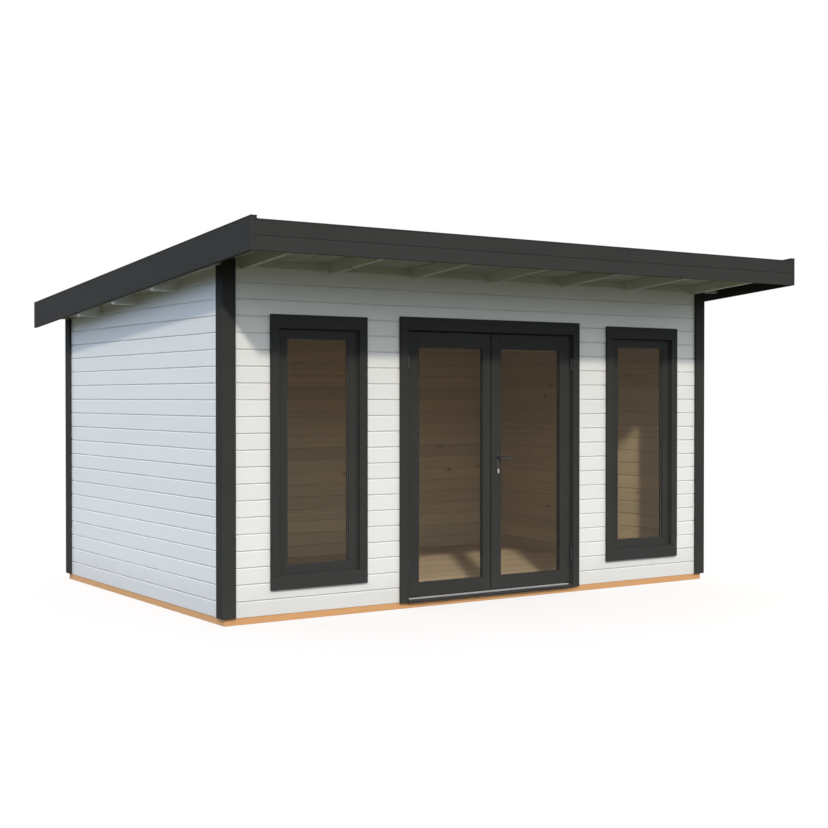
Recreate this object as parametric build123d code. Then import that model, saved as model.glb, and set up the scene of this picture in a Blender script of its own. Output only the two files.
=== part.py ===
from build123d import *
import math
import os

# Garden cabin with a single-slope roof, a glazed double door and two tall fixed windows.
# Millimetres. X runs to the right along the front, Y to the back, Z up.
# The origin is the middle of the footprint, on the ground.

# Walls and base
cabin_width = 4500.0
cabin_depth = 3010.0
wall_thickness = 44.0
base_height = 50.0
base_beam_width = 60.0
base_inset = 4.0
joist_width = 45.0
joist_bays = 10
floor_thickness = 19.0

# Roof: heights are above the wall's foot, or above and below the underside of the roof boards
eave_height = 2447.0
roof_pitch_deg = 4.4
front_overhang = 830.0
side_overhang = 218.0
back_overhang = 233.0
roof_board_thickness = 19.0
felt_thickness = 4.0
plate_height = 46.0
purlin_width = 58.0
purlin_depth = 119.0
purlin_count = 3
overhang_rafter_width = 45.0
overhang_rafter_depth = 72.0
overhang_rafter_spacing = 703.0
overhang_rafter_count = 7

# Roof edge boards
edge_board_thickness = 26.0
barge_drop = 95.5
barge_rise = 113.0
fascia_rise = 93.0
back_fascia_drop = 4.0
fascia_joint = 1.0
edge_batten_thickness = 20.0
cap_slat_thickness = 10.0

# Joint between two boards that meet, and how far a cutter runs past what it cuts
piece_joint = 0.5
cut_margin = 1.0

# Corner boards
corner_board_thickness = 20.0
corner_board_width = 104.0

# Casings round the door and the windows
casing_thickness = 22.0
casing_side_width = 66.0
casing_top_width = 96.0
inner_casing_thickness = 20.0
inner_casing_width = 64.0
casing_setback = 6.0
leaf_recess = 8.0

# Double door: its casing's middle is right of the cabin's middle, and its leaves meet left of the casing's
door_casing_width = 1707.0
door_casing_top = 2096.0
door_offset = 21.5
meeting_offset = -9.5
casing_foot_drop = 6.0
frame_thickness = 28.0
leaf_thickness = 40.0
leaf_gap = 5.0
meeting_gap = 10.0
hinge_stile_width = 103.0
left_meeting_stile_width = 70.0
right_meeting_stile_width = 93.0
top_rail_width = 113.0
bottom_rail_width = 96.0
pane_thickness = 6.0
pane_recess = 8.0
stop_width = 15.0

# Threshold
sill_height = 20.0
nosing_projection = 30.0
nosing_drop = 20.0
nosing_top = 12.0
strip_thickness = 6.0
strip_depth = 58.0

# Door hinges, lock and handle
hinge_radius = 7.0
hinge_pin_radius = 3.5
hinge_pin_clearance = 0.08
hinge_barrel_length = 45.0
hinge_barrel_gap = 1.0
hinge_pin_reach = 38.0
hinge_clearance = 0.5
hinge_pad_width = 8.0
hinge_heights = (210.0, 1720.0)
lock_plate_width = 30.0
lock_plate_height = 158.0
lock_plate_thickness = 4.0
lock_plate_drop = 123.0
lock_backset = 63.0
handle_height = 1041.0
cylinder_drop = 97.0
cylinder_radius = 8.5
cylinder_clearance = 0.2
cylinder_projection = 3.0
spindle_radius = 4.0
spindle_clearance = 0.5
handle_neck_radius = 9.0
handle_neck_length = 42.0
handle_plate_clearance = 0.5
lever_length = 118.0
lever_height = 20.0
lever_thickness = 12.0
lever_edge_radius = 4.0

# Windows, each measured from the cabin corner beside it
left_window_margin = 352.0
right_window_margin = 301.0
window_casing_width = 782.0
window_casing_foot = 170.0
window_casing_top = 2080.0
window_lining_thickness = 22.0
sash_gap = 1.5
sash_stile_width = 69.0
sash_rail_width = 63.0

# Lines that follow from the sizes above
left_x = -cabin_width / 2
right_x = cabin_width / 2
front_y = -cabin_depth / 2
back_y = cabin_depth / 2
wall_foot = base_height
roof_fall = math.tan(math.radians(roof_pitch_deg))
roof_front_y = front_y - front_overhang
roof_back_y = back_y + back_overhang
roof_left_x = left_x - side_overhang
roof_right_x = right_x + side_overhang
inner_front_y = front_y + wall_thickness
inner_back_y = back_y - wall_thickness


def roof_z(y, level=0.0):
    """Height at depth y of the plane that lies level above the underside of the roof boards."""
    return wall_foot + eave_height + level - roof_fall * (y - front_y)


def block(x0, x1, y0, y1, z0, z1):
    """Square-cornered piece between two opposite corners."""
    middle = ((x0 + x1) / 2, (y0 + y1) / 2, (z0 + z1) / 2)
    return Pos(*middle) * Box(x1 - x0, y1 - y0, z1 - z0)


def side_profile(x0, x1, outline):
    """Piece from x0 to x1 whose outline, seen along X, is a list of (y, z) corners."""
    corners = [Vector(x0, y, z) for y, z in outline]
    face = Face(Wire.make_polygon(corners, close=True))
    return Solid.extrude(face, Vector(x1 - x0, 0, 0))


def sloped_piece(x0, x1, y0, y1, low, high):
    """Piece that follows the roof's fall, between two levels of the roof."""
    outline = [(y0, roof_z(y0, low)), (y1, roof_z(y1, low)), (y1, roof_z(y1, high)), (y0, roof_z(y0, high))]
    return side_profile(x0, x1, outline)


def rod(x, y, z, radius, length, axis="z"):
    """Round piece that starts at a point and runs along one axis."""
    turns = {"z": (0, 0, 0), "y": (-90, 0, 0)}
    column = Cylinder(radius, length, align=(Align.CENTER, Align.CENTER, Align.MIN))
    return Pos(x, y, z) * Rot(*turns[axis]) * column


def save(name, pieces):
    """Write one sub-part, a single solid or several that stand apart."""
    solids = []
    for piece in pieces:
        solids.extend(piece.solids())
    shape = solids[0] if len(solids) == 1 else Compound(children=solids)
    shape.label = name
    export_step(shape, os.path.join("parts", name + ".step"))


# Base frame and floor

def base_long_beams():
    x0 = left_x + base_inset
    x1 = right_x - base_inset
    front = front_y + base_inset
    back = back_y - base_inset
    return [
        block(x0, x1, front, front + base_beam_width, 0, base_height),
        block(x0, x1, back - base_beam_width, back, 0, base_height),
    ]


def base_cross_beams():
    """Two end beams and the joists between them, all between the long beams."""
    y0 = front_y + base_inset + base_beam_width
    y1 = back_y - base_inset - base_beam_width
    x0 = left_x + base_inset
    x1 = right_x - base_inset
    beams = [
        block(x0, x0 + base_beam_width, y0, y1, 0, base_height),
        block(x1 - base_beam_width, x1, y0, y1, 0, base_height),
    ]
    first = x0 + base_beam_width
    bay = (x1 - base_beam_width - first) / joist_bays
    joist_top = base_height - floor_thickness
    for i in range(1, joist_bays):
        middle = first + i * bay
        beams.append(block(middle - joist_width / 2, middle + joist_width / 2, y0, y1, 0, joist_top))
    return beams


def floor_boards():
    x0 = left_x + base_inset + base_beam_width
    x1 = right_x - base_inset - base_beam_width
    y0 = front_y + base_inset + base_beam_width
    y1 = back_y - base_inset - base_beam_width
    return [block(x0, x1, y0, y1, base_height - floor_thickness, base_height)]


# Walls

front_wall_top = wall_foot + eave_height - plate_height
back_wall_top = roof_z(back_y) - plate_height
door_casing_left = door_offset - door_casing_width / 2
door_casing_right = door_offset + door_casing_width / 2
door_opening_left = door_casing_left + casing_side_width + casing_setback - frame_thickness
door_opening_right = door_casing_right - casing_side_width - casing_setback + frame_thickness
door_opening_top = wall_foot + door_casing_top - casing_top_width - casing_setback + frame_thickness
purlin_bay = (cabin_depth - wall_thickness) / (purlin_count + 1)
window_casing_lefts = (left_x + left_window_margin, right_x - right_window_margin - window_casing_width)
purlin_middles = [front_y + wall_thickness / 2 + (i + 1) * purlin_bay for i in range(purlin_count)]


def window_opening(casing_left):
    """Clear opening in the wall for one window, as (x0, x1, z0, z1), that takes the lining."""
    grow = casing_setback - window_lining_thickness
    x0 = casing_left + casing_side_width + grow
    x1 = casing_left + window_casing_width - casing_side_width - grow
    z0 = wall_foot + window_casing_foot + casing_top_width + grow
    z1 = wall_foot + window_casing_top - casing_top_width - grow
    return x0, x1, z0, z1


def wall_with_window(x0, x1, casing_left):
    wall = block(x0, x1, front_y, inner_front_y, wall_foot, front_wall_top)
    wx0, wx1, wz0, wz1 = window_opening(casing_left)
    return wall - block(wx0, wx1, front_y - cut_margin, inner_front_y + cut_margin, wz0, wz1)


def front_wall_left():
    return [wall_with_window(left_x, door_opening_left, window_casing_lefts[0])]


def front_wall_right():
    return [wall_with_window(door_opening_right, right_x, window_casing_lefts[1])]


def front_wall_over_door():
    xs = (door_opening_left, door_opening_right)
    return [block(*xs, front_y, inner_front_y, door_opening_top, front_wall_top)]


def side_wall(x0, x1):
    """Wall between the front and back walls, cut to the roof's fall and notched for the purlins."""
    outline = [
        (inner_front_y, wall_foot),
        (inner_back_y, wall_foot),
        (inner_back_y, roof_z(inner_back_y)),
    ]
    for middle in reversed(purlin_middles):
        y0 = middle - purlin_width / 2
        y1 = middle + purlin_width / 2
        seat = roof_z(y1, -purlin_depth)
        outline += [(y1, roof_z(y1)), (y1, seat), (y0, seat), (y0, roof_z(y0))]
    outline.append((inner_front_y, roof_z(inner_front_y)))
    return [side_profile(x0, x1, outline)]


def back_wall():
    return [block(left_x, right_x, inner_back_y, back_y, wall_foot, back_wall_top)]


def corner_post(x, y, inward_x, inward_y, side_top, face_top):
    """Two corner boards joined as an L: the one on the front or back reaches up past the wall plate."""
    t = corner_board_thickness
    w = corner_board_width
    xs = sorted((x - inward_x * t, x - inward_x * t + inward_x * w))
    ys = sorted((y - inward_y * t, y - inward_y * t + inward_y * w))
    face_y = sorted((y - inward_y * t, y))
    face_x = sorted((x - inward_x * t, x))
    along_x = block(*xs, *face_y, wall_foot, face_top)
    along_y = block(*face_x, *ys, wall_foot, side_top)
    return along_x + along_y


def front_corner_posts():
    tops = (front_wall_top, roof_z(front_y))
    return [corner_post(left_x, front_y, 1, 1, *tops), corner_post(right_x, front_y, -1, 1, *tops)]


def back_corner_posts():
    tops = (back_wall_top, roof_z(back_y + corner_board_thickness))
    return [corner_post(left_x, back_y, 1, -1, *tops), corner_post(right_x, back_y, -1, -1, *tops)]


# Roof

inner_left_x = roof_left_x + edge_board_thickness
inner_right_x = roof_right_x - edge_board_thickness
inner_roof_front_y = roof_front_y + edge_board_thickness
inner_roof_back_y = roof_back_y - edge_board_thickness


def wall_plates():
    """Top members of the front and back walls, run out at both ends to the bargeboards."""
    plates = []
    for y0, y1, z0 in ((front_y, inner_front_y, front_wall_top), (inner_back_y, back_y, back_wall_top)):
        outline = [(y0, z0), (y1, z0), (y1, roof_z(y1)), (y0, roof_z(y0))]
        plates.append(side_profile(inner_left_x, inner_right_x, outline))
    return plates


def purlins():
    pieces = []
    for middle in purlin_middles:
        y0 = middle - purlin_width / 2
        y1 = middle + purlin_width / 2
        seat = roof_z(y1, -purlin_depth)
        outline = [(y0, seat), (y1, seat), (y1, roof_z(y1)), (y0, roof_z(y0))]
        pieces.append(side_profile(inner_left_x, inner_right_x, outline))
    return pieces


def overhang_rafters():
    pieces = []
    for i in range(overhang_rafter_count):
        middle = (i - (overhang_rafter_count - 1) / 2) * overhang_rafter_spacing
        x0 = middle - overhang_rafter_width / 2
        x1 = middle + overhang_rafter_width / 2
        pieces.append(sloped_piece(x0, x1, inner_roof_front_y, front_y, -overhang_rafter_depth, 0))
    return pieces


def roof_boards():
    ends = (inner_roof_front_y, inner_roof_back_y)
    return [sloped_piece(inner_left_x, inner_right_x, *ends, 0, roof_board_thickness)]


def roof_felt():
    """Sheet on the boards, inside the edge battens, that runs out over the back fascia."""
    x0 = inner_left_x + edge_batten_thickness
    x1 = inner_right_x - edge_batten_thickness
    y0 = inner_roof_front_y + edge_batten_thickness
    top = roof_board_thickness + felt_thickness
    return [sloped_piece(x0, x1, y0, roof_back_y, roof_board_thickness, top)]


def roof_edge_battens():
    """Upstands inside the bargeboards and the front fascia, which carry the cap slats."""
    low = roof_board_thickness
    y0 = inner_roof_front_y
    t = edge_batten_thickness
    front_z = roof_z(roof_front_y, fascia_rise)
    outline = [(y0, roof_z(y0, low)), (y0 + t, roof_z(y0 + t, low)), (y0 + t, front_z), (y0, front_z)]
    return [
        sloped_piece(inner_left_x, inner_left_x + t, y0, roof_back_y, low, barge_rise),
        sloped_piece(inner_right_x - t, inner_right_x, y0, roof_back_y, low, barge_rise),
        side_profile(inner_left_x + t + piece_joint, inner_right_x - t - piece_joint, outline),
    ]


def bargeboards():
    return [
        sloped_piece(roof_left_x, inner_left_x, roof_front_y, roof_back_y, -barge_drop, barge_rise),
        sloped_piece(inner_right_x, roof_right_x, roof_front_y, roof_back_y, -barge_drop, barge_rise),
    ]


def front_fascia():
    """Two level boards, one over the other, between the bargeboards."""
    low = roof_z(roof_front_y, -barge_drop)
    high = roof_z(roof_front_y, fascia_rise)
    board = (high - low - fascia_joint) / 2
    ys = (roof_front_y, inner_roof_front_y)
    return [
        block(inner_left_x, inner_right_x, *ys, low, low + board),
        block(inner_left_x, inner_right_x, *ys, high - board, high),
    ]


def back_fascia():
    y0 = inner_roof_back_y
    y1 = roof_back_y
    low = roof_z(y1, -back_fascia_drop)
    top = roof_board_thickness
    outline = [(y0, low), (y1, low), (y1, roof_z(y1, top)), (y0, roof_z(y0, top))]
    return [side_profile(inner_left_x, inner_right_x, outline)]


def cap_slats():
    """Flat slats on the top edges of the bargeboards and of the front fascia."""
    width = edge_board_thickness + edge_batten_thickness
    high = barge_rise + cap_slat_thickness
    front_z = roof_z(roof_front_y, fascia_rise)
    x0 = roof_left_x + width + piece_joint
    x1 = roof_right_x - width - piece_joint
    front = block(x0, x1, roof_front_y, roof_front_y + width, front_z, front_z + cap_slat_thickness)
    return [
        sloped_piece(roof_left_x, roof_left_x + width, roof_front_y, roof_back_y, barge_rise, high),
        sloped_piece(roof_right_x - width, roof_right_x, roof_front_y, roof_back_y, barge_rise, high),
        front,
    ]


# Door frame and casings

frame_back_y = inner_front_y + inner_casing_thickness
frame_inner_left = door_opening_left + frame_thickness
frame_inner_right = door_opening_right - frame_thickness
frame_inner_top = door_opening_top - frame_thickness
leaf_front_y = front_y + leaf_recess
leaf_back_y = leaf_front_y + leaf_thickness


def door_frame():
    """Two jambs that stand on the base beam and a head between them."""
    z0 = wall_foot
    return [
        block(door_opening_left, frame_inner_left, front_y, frame_back_y, z0, door_opening_top),
        block(frame_inner_right, door_opening_right, front_y, frame_back_y, z0, door_opening_top),
        block(
            frame_inner_left + piece_joint,
            frame_inner_right - piece_joint,
            front_y,
            frame_back_y,
            frame_inner_top,
            door_opening_top,
        ),
    ]


def door_stops():
    """Laths on the frame that the closed leaves stand against."""
    y0 = leaf_back_y + leaf_gap
    y1 = frame_back_y
    z0 = wall_foot + sill_height + strip_thickness
    z1 = frame_inner_top - stop_width - piece_joint
    x0 = frame_inner_left
    x1 = frame_inner_right
    return [
        block(x0, x0 + stop_width, y0, y1, z0, z1),
        block(x1 - stop_width, x1, y0, y1, z0, z1),
        block(x0 + piece_joint, x1 - piece_joint, y0, y1, z1 + piece_joint, frame_inner_top),
    ]


def casing_boards(x0, x1, z0, z1, y0, y1, side, top, bottom):
    """Flat boards round an opening: two sides, a top over them and a bottom board unless bottom is 0."""
    foot = z0 + bottom + piece_joint if bottom else z0
    boards = [
        block(x0, x0 + side, y0, y1, foot, z1 - top - piece_joint),
        block(x1 - side, x1, y0, y1, foot, z1 - top - piece_joint),
        block(x0, x1, y0, y1, z1 - top, z1),
    ]
    if bottom:
        boards.append(block(x0, x1, y0, y1, z0, z0 + bottom))
    return boards


def door_casing():
    xs = (door_casing_left, door_casing_right)
    z0 = wall_foot - casing_foot_drop
    z1 = wall_foot + door_casing_top
    ys = (front_y - casing_thickness, front_y)
    return casing_boards(*xs, z0, z1, *ys, casing_side_width, casing_top_width, 0)


def door_inner_casing():
    x0 = door_opening_left - inner_casing_width
    x1 = door_opening_right + inner_casing_width
    z1 = door_opening_top + inner_casing_width
    ys = (inner_front_y, frame_back_y)
    return casing_boards(x0, x1, wall_foot, z1, *ys, inner_casing_width, inner_casing_width, 0)


def door_threshold():
    """Timber sill on the base beam with a nosing that hangs in front of it."""
    top = wall_foot + sill_height
    sill = block(frame_inner_left, frame_inner_right, front_y, frame_back_y, wall_foot, top)
    x0 = door_casing_left + casing_side_width + piece_joint
    x1 = door_casing_right - casing_side_width - piece_joint
    y0 = front_y - nosing_projection
    nosing = block(x0, x1, y0, front_y, wall_foot - nosing_drop, wall_foot + nosing_top)
    return [sill + nosing]


def threshold_strip():
    """Angle strip on the sill's front edge, with its lip down on the nosing."""
    x0 = frame_inner_left
    x1 = frame_inner_right
    low = wall_foot + sill_height
    flat = block(x0, x1, front_y - strip_thickness, front_y + strip_depth, low, low + strip_thickness)
    lip = block(x0, x1, front_y - strip_thickness, front_y, wall_foot + nosing_top, low)
    return [flat + lip]


# Door leaves

leaf_foot = wall_foot + sill_height + strip_thickness + leaf_gap
leaf_top = frame_inner_top - leaf_gap
meeting_x = door_offset + meeting_offset
left_leaf_x = (frame_inner_left + leaf_gap, meeting_x - meeting_gap / 2)
right_leaf_x = (meeting_x + meeting_gap / 2, frame_inner_right - leaf_gap)
left_stiles = (hinge_stile_width, left_meeting_stile_width)
right_stiles = (right_meeting_stile_width, hinge_stile_width)
pane_y = (leaf_front_y + pane_recess, leaf_front_y + pane_recess + pane_thickness)
handle_x = right_leaf_x[0] + lock_backset
handle_z = wall_foot + handle_height
cylinder_z = handle_z - cylinder_drop


def leaf_stiles(xs, widths):
    ys = (leaf_front_y, leaf_back_y)
    return [
        block(xs[0], xs[0] + widths[0], *ys, leaf_foot, leaf_top),
        block(xs[1] - widths[1], xs[1], *ys, leaf_foot, leaf_top),
    ]


def leaf_rails(xs, widths):
    ys = (leaf_front_y, leaf_back_y)
    x0 = xs[0] + widths[0]
    x1 = xs[1] - widths[1]
    return [
        block(x0, x1, *ys, leaf_foot, leaf_foot + bottom_rail_width),
        block(x0, x1, *ys, leaf_top - top_rail_width, leaf_top),
    ]


def leaf_pane(xs, widths):
    x0 = xs[0] + widths[0]
    x1 = xs[1] - widths[1]
    return [block(x0, x1, *pane_y, leaf_foot + bottom_rail_width, leaf_top - top_rail_width)]


def bored_for_lock(piece, y0, y1):
    """Piece between two depths, with the bores for the handle's spindle and the lock cylinder."""
    start = y0 - cut_margin
    depth = y1 - y0 + 2 * cut_margin
    spindle_bore = rod(handle_x, start, handle_z, spindle_radius + spindle_clearance, depth, "y")
    cylinder_bore = rod(handle_x, start, cylinder_z, cylinder_radius + cylinder_clearance, depth, "y")
    return piece - spindle_bore - cylinder_bore


def door_right_stiles():
    """The meeting stile is bored for the spindle and the lock cylinder."""
    meeting, hinged = leaf_stiles(right_leaf_x, right_stiles)
    return [bored_for_lock(meeting, leaf_front_y, leaf_back_y), hinged]


def lock_plates():
    """Long plates on both faces of the right leaf's meeting stile."""
    plates = []
    x0 = handle_x - lock_plate_width / 2
    z0 = handle_z - lock_plate_drop
    for y0 in (leaf_front_y - lock_plate_thickness, leaf_back_y):
        y1 = y0 + lock_plate_thickness
        plate = block(x0, x0 + lock_plate_width, y0, y1, z0, z0 + lock_plate_height)
        plates.append(bored_for_lock(plate, y0, y1))
    return plates


def lock_cylinder():
    y0 = leaf_front_y - lock_plate_thickness - cylinder_projection
    length = leaf_thickness + 2 * (lock_plate_thickness + cylinder_projection)
    return [rod(handle_x, y0, cylinder_z, cylinder_radius, length, "y")]


def door_handles():
    """Levers outside and inside, on one spindle through the leaf."""
    near = leaf_front_y - lock_plate_thickness - handle_plate_clearance
    far = leaf_back_y + lock_plate_thickness + handle_plate_clearance
    spindle = rod(handle_x, near, handle_z, spindle_radius, far - near, "y")
    pieces = spindle
    for neck_y, lever_y in (
        (near - handle_neck_length, near - handle_neck_length),
        (far, far + handle_neck_length - lever_thickness),
    ):
        pieces += rod(handle_x, neck_y, handle_z, handle_neck_radius, handle_neck_length, "y")
        lever = block(
            handle_x,
            handle_x + lever_length,
            lever_y,
            lever_y + lever_thickness,
            handle_z - lever_height / 2,
            handle_z + lever_height / 2,
        )
        pieces += fillet(lever.edges().filter_by(Axis.X), lever_edge_radius)
    return [pieces]


# Hinges: the lower barrel with its pin is on the frame, the upper barrel on the leaf

hinge_y = front_y - hinge_clearance - hinge_radius
hinge_left_x = frame_inner_left + leaf_gap / 2
hinge_right_x = frame_inner_right - leaf_gap / 2


def hinge_foot(height):
    return wall_foot + height


def hinge_frame_half(x, outward, z):
    """Barrel, pin and a pad that sits on the front of the jamb."""
    barrel = rod(x, hinge_y, z, hinge_radius, hinge_barrel_length)
    pin = rod(x, hinge_y, z, hinge_pin_radius, hinge_barrel_length + hinge_pin_reach)
    xs = sorted((x + outward * leaf_gap / 2, x + outward * hinge_pad_width))
    pad = block(*xs, hinge_y, front_y, z, z + hinge_barrel_length)
    return barrel + pin + pad


def hinge_leaf_half(x, outward, z):
    """Barrel round the pin and a pad that sits on the front of the leaf."""
    z0 = z + hinge_barrel_length + hinge_barrel_gap
    barrel = rod(x, hinge_y, z0, hinge_radius, hinge_barrel_length)
    xs = sorted((x - outward * leaf_gap / 2, x - outward * (leaf_gap / 2 + hinge_pad_width)))
    pad = block(*xs, hinge_y, leaf_front_y, z0, z0 + hinge_barrel_length)
    bore_length = hinge_barrel_length - hinge_barrel_gap
    bore = rod(x, hinge_y, z0, hinge_pin_radius + hinge_pin_clearance, bore_length)
    return barrel + pad - bore


def hinge_pins():
    pieces = []
    for height in hinge_heights:
        pieces.append(hinge_frame_half(hinge_left_x, -1, hinge_foot(height)))
        pieces.append(hinge_frame_half(hinge_right_x, 1, hinge_foot(height)))
    return pieces


def left_hinge_barrels():
    return [hinge_leaf_half(hinge_left_x, -1, hinge_foot(height)) for height in hinge_heights]


def right_hinge_barrels():
    return [hinge_leaf_half(hinge_right_x, 1, hinge_foot(height)) for height in hinge_heights]


# Windows

def ring(x0, x1, z0, z1, y0, y1, side, level):
    """Four pieces round a rectangle: two upright sides between a level top and bottom."""
    foot = z0 + level + piece_joint
    head = z1 - level - piece_joint
    return [
        block(x0, x1, y0, y1, z0, z0 + level),
        block(x0, x1, y0, y1, z1 - level, z1),
        block(x0, x0 + side, y0, y1, foot, head),
        block(x1 - side, x1, y0, y1, foot, head),
    ]


def sash_edges(casing_left):
    x0, x1, z0, z1 = window_opening(casing_left)
    side = window_lining_thickness + sash_gap
    return x0 + side, x1 - side, z0 + window_lining_thickness, z1 - side


def window_casings():
    boards = []
    for casing_left in window_casing_lefts:
        xs = (casing_left, casing_left + window_casing_width)
        z0 = wall_foot + window_casing_foot
        z1 = wall_foot + window_casing_top
        ys = (front_y - casing_thickness, front_y)
        widths = (casing_side_width, casing_top_width, casing_top_width)
        boards += casing_boards(*xs, z0, z1, *ys, *widths)
    return boards


def window_linings():
    boards = []
    t = window_lining_thickness
    for casing_left in window_casing_lefts:
        boards += ring(*window_opening(casing_left), front_y, frame_back_y, t, t)
    return boards


def window_inner_casings():
    boards = []
    w = inner_casing_width
    for casing_left in window_casing_lefts:
        x0, x1, z0, z1 = window_opening(casing_left)
        boards += casing_boards(x0 - w, x1 + w, z0 - w, z1 + w, inner_front_y, frame_back_y, w, w, w)
    return boards


def window_sashes():
    boards = []
    widths = (sash_stile_width, sash_rail_width)
    for casing_left in window_casing_lefts:
        boards += ring(*sash_edges(casing_left), leaf_front_y, leaf_back_y, *widths)
    return boards


def window_panes():
    panes = []
    for casing_left in window_casing_lefts:
        x0, x1, z0, z1 = sash_edges(casing_left)
        x0, x1 = x0 + sash_stile_width, x1 - sash_stile_width
        panes.append(block(x0, x1, *pane_y, z0 + sash_rail_width, z1 - sash_rail_width))
    return panes


os.makedirs("parts", exist_ok=True)

save("base_long_beams", base_long_beams())
save("base_cross_beams", base_cross_beams())
save("floor_boards", floor_boards())
save("front_wall_left", front_wall_left())
save("front_wall_right", front_wall_right())
save("front_wall_over_door", front_wall_over_door())
save("left_wall", side_wall(left_x, left_x + wall_thickness))
save("right_wall", side_wall(right_x - wall_thickness, right_x))
save("back_wall", back_wall())
save("front_corner_posts", front_corner_posts())
save("back_corner_posts", back_corner_posts())
save("wall_plates", wall_plates())
save("purlins", purlins())
save("overhang_rafters", overhang_rafters())
save("roof_boards", roof_boards())
save("roof_felt", roof_felt())
save("roof_edge_battens", roof_edge_battens())
save("bargeboards", bargeboards())
save("front_fascia", front_fascia())
save("back_fascia", back_fascia())
save("cap_slats", cap_slats())
save("door_frame", door_frame())
save("door_stops", door_stops())
save("door_casing", door_casing())
save("door_inner_casing", door_inner_casing())
save("door_threshold", door_threshold())
save("threshold_strip", threshold_strip())
save("door_left_stiles", leaf_stiles(left_leaf_x, left_stiles))
save("door_left_rails", leaf_rails(left_leaf_x, left_stiles))
save("door_left_pane", leaf_pane(left_leaf_x, left_stiles))
save("door_right_stiles", door_right_stiles())
save("door_right_rails", leaf_rails(right_leaf_x, right_stiles))
save("door_right_pane", leaf_pane(right_leaf_x, right_stiles))
save("hinge_pins", hinge_pins())
save("left_hinge_barrels", left_hinge_barrels())
save("right_hinge_barrels", right_hinge_barrels())
save("lock_plates", lock_plates())
save("lock_cylinder", lock_cylinder())
save("door_handles", door_handles())
save("window_casings", window_casings())
save("window_linings", window_linings())
save("window_inner_casings", window_inner_casings())
save("window_sashes", window_sashes())
save("window_panes", window_panes())
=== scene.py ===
import math

import bpy
import numpy as np
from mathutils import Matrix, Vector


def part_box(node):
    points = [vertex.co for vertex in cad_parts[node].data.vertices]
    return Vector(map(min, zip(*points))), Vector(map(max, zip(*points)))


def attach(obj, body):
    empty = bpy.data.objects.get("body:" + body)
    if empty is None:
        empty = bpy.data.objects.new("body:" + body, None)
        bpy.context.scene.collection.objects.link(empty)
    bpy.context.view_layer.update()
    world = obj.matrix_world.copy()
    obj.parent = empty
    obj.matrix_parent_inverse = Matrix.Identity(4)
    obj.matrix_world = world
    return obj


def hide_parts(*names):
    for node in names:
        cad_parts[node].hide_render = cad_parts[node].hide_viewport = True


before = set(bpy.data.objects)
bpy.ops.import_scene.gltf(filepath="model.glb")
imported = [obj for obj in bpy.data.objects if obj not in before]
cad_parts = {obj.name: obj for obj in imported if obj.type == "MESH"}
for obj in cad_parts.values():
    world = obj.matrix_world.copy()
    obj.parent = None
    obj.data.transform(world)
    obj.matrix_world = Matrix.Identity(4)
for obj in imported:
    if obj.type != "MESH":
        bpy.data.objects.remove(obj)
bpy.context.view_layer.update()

# Looks of a garden cabin, in metres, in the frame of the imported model.
# X runs to the right along the front, Y to the back, Z up.

X, Y, Z = 0, 1, 2
ROOF_FALL = math.tan(math.radians(4.4))
MERGE_DIGITS = 5

# Boards of the walls, the roof and the floor
WALL_COVER = 0.115
WALL_CHAMFER = 0.0058
ROOF_COVER = 0.0939
ROOF_CHAMFER = 0.004
FLOOR_COVER = 0.0961
FLOOR_CHAMFER = 0.0012
BOARD_GAP = 0.0022
GAP_DEPTH = 0.006
FIRST_BOARD_DROP = 0.0085
LEAST_BOARD = 0.002
BELOW_WALL, ABOVE_WALL = -1.0, 9.0
INTO_WALL = 0.018
CORNER_BOARD_WIDTH = 0.104
CORNER_JOINT = 0.0006

# Laths under the roof boards, along the side walls
LATH_DEPTH = 0.036
LATH_THICKNESS = 0.020

# Roofing sheet and cap slats
SHEET_COVER = 0.91
SHEET_LAP = 0.09
LAP_RISE = 0.02
SHEET_THICKNESS = 0.003
PACKED_SHEET = 0.004
SHEET_RIPPLE = 0.0006
UPSTAND_LEVELS = (0.023, 0.108)
FRONT_UPSTAND_CUT = 0.03
CAP_THICKNESS = 0.010
CAP_END_GAP = 0.002
CAP_END_WIDTH = 0.020
LONG_CAP = 1.0

# Glazing
BEAD_WIDTH = 0.0035
BEAD_SLOPE = (0.002, 0.003)
BEAD_SETBACK = 0.0015
GASKET_WIDTH = 0.0026
GASKET_DEPTH = 0.0015
GASKET_GAP = 0.0001
SHEET_GLASS = 0.004
GLASS_EDGE = 0.0003
UNIT_THICKNESS = 0.018
SPACER_HEIGHT = 0.0032
SPACER_SEAT = 0.0004
SPACER_GAP = 0.0002

# Threshold
NOSE_LIFT = 0.010
NOSE_BEVEL = 0.004
NOSE_SLOPE = (0.008, 0.006)
STRIP_DIP = 0.003
STRIP_END_GAPS = (0.010, 0.028)
RIB, GROOVE, FIRST_RIB = 0.0032, 0.0028, 0.003
RIB_HEIGHT, RIB_SLOPE = 0.0013, 0.0006
RIM_SLOPE, RIM_BEVEL = 0.001, 0.0015

# Lever: half sizes of its grip, radius of its neck and of its bend, and length of its root
LEVER_HALF_HEIGHT, LEVER_HALF_DEPTH = 0.010, 0.006
NECK_RADIUS, LEVER_BEND, LEVER_ROOT = 0.009, 0.012, 0.02
LEVER_INSET, LEVER_GAP = 0.015, 0.0005
OVAL_POWER = 0.72

# Lock plates and cylinder
PLATE_CORNER, PLATE_INNER_CORNER = 0.010, 0.0088
PLATE_RIM = 0.0012
PLATE_SCREW_INSET = 0.0095
CYLINDER_LEG = 0.005
CYLINDER_LEG_DROP = 0.0195
PLUG_RADII, PLUG_RISES = (0.0056, 0.0056, 0.0051), (-0.0004, 0.0003, 0.0006)
KEYWAY_RISE, KEYWAY_DEPTH = 0.00062, 0.0004
KEYWAY_HALF_WIDTH, KEYWAY_BELOW, KEYWAY_ABOVE = 0.0007, 0.0038, 0.0034

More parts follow.
